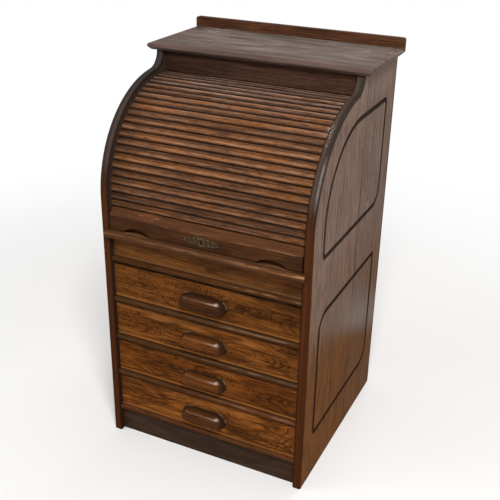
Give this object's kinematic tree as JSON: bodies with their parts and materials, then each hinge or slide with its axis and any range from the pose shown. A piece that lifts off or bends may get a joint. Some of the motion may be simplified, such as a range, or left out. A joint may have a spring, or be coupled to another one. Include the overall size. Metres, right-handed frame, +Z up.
{
  "type": "cylinder desk",
  "caption": "Dark oak cylinder desk: a rolling curtain of slats over a writing bed between curved sides, with a low gallery on top and drawers with scooped wooden pulls below.",
  "frame": {"origin": "on the floor, at the middle of the whole width and depth, pulls included", "axes": "+X to the right seen from the front, -Y out of the front, +Z up"},
  "size_m": [0.596, 0.556, 1.045],
  "materials": {
    "oak_case": "satin, worn",
    "oak_top": "satin, worn",
    "oak_rail": "satin, worn",
    "oak_plinth": "dull",
    "oak_slat": "satin, worn",
    "oak_front": "satin, figured",
    "oak_handle": "polished by hands",
    "inner_wood": "raw, dusty",
    "canvas": "woven",
    "brass": "aged"
  },
  "bodies": {
    "carcass": {"right_side": "oak_case", "left_side": "oak_case", "fascia": "oak_case", "top_board": "oak_top", "gallery": "oak_top", "writing_bed": "oak_top", "bed_nosing": "oak_rail", "apron": "oak_rail", "drawer_rails": "oak_rail", "bottom_board": "oak_rail", "plinth": "oak_plinth", "back_boards": "inner_wood", "drawer_guides": "inner_wood", "nest_case": "inner_wood", "nest_partitions": "inner_wood", "strike_plate": "brass"},
    "tambour": {"slat_01": "oak_slat", "slat_02": "oak_slat", "slat_03": "oak_slat", "slat_04": "oak_slat", "slat_05": "oak_slat", "slat_06": "oak_slat", "slat_07": "oak_slat", "slat_08": "oak_slat", "slat_09": "oak_slat", "slat_10": "oak_slat", "slat_11": "oak_slat", "slat_12": "oak_slat", "slat_13": "oak_slat", "slat_14": "oak_slat", "slat_15": "oak_slat", "slat_16": "oak_slat", "slat_17": "oak_slat", "slat_18": "oak_slat", "slat_19": "oak_slat", "slat_20": "oak_slat", "slat_21": "oak_slat", "slat_22": "oak_slat", "slat_23": "oak_slat", "curtain_canvas": "canvas"},
    "lift_rail": {"lift_rail": "oak_slat", "lock_case": "brass", "escutcheon": "brass"},
    "lock_bolt": {"lock_bolt": "brass"},
    "drawer_1": {"drawer_1_front": "oak_front", "drawer_1_box": "inner_wood", "drawer_1_bottom": "inner_wood", "drawer_1_handle": "oak_handle"},
    "drawer_2": {"drawer_2_front": "oak_front", "drawer_2_box": "inner_wood", "drawer_2_bottom": "inner_wood", "drawer_2_handle": "oak_handle"},
    "drawer_3": {"drawer_3_front": "oak_front", "drawer_3_box": "inner_wood", "drawer_3_bottom": "inner_wood", "drawer_3_handle": "oak_handle"},
    "drawer_4": {"drawer_4_front": "oak_front", "drawer_4_box": "inner_wood", "drawer_4_bottom": "inner_wood", "drawer_4_handle": "oak_handle"}
  },
  "joints": [
    {"name": "tambour_roll", "type": "hinge", "parent": "carcass", "child": "tambour", "pos_m": [0, 0.008, 0.692], "axis": [-1, 0, 0], "range_deg": [0, 95]},
    {"name": "lift_rail_fold", "type": "hinge", "parent": "tambour", "child": "lift_rail", "pos_m": [0, -0.231, 0.6692], "axis": [1, 0, 0], "range_deg": [0, 12]},
    {"name": "lock_bolt_slide", "type": "slide", "parent": "lift_rail", "child": "lock_bolt", "axis": [0, 0, -1], "range_m": [0, 0.008]},
    {"name": "drawer_1_slide", "type": "slide", "parent": "carcass", "child": "drawer_1", "axis": [0, -1, 0], "range_m": [0, 0.36]},
    {"name": "drawer_2_slide", "type": "slide", "parent": "carcass", "child": "drawer_2", "axis": [0, -1, 0], "range_m": [0, 0.36]},
    {"name": "drawer_3_slide", "type": "slide", "parent": "carcass", "child": "drawer_3", "axis": [0, -1, 0], "range_m": [0, 0.36]},
    {"name": "drawer_4_slide", "type": "slide", "parent": "carcass", "child": "drawer_4", "axis": [0, -1, 0], "range_m": [0, 0.36]}
  ],
  "couplings": [
    {"joint": "lift_rail_fold", "follows": "tambour_roll", "ratio": 0.122}
  ]
}
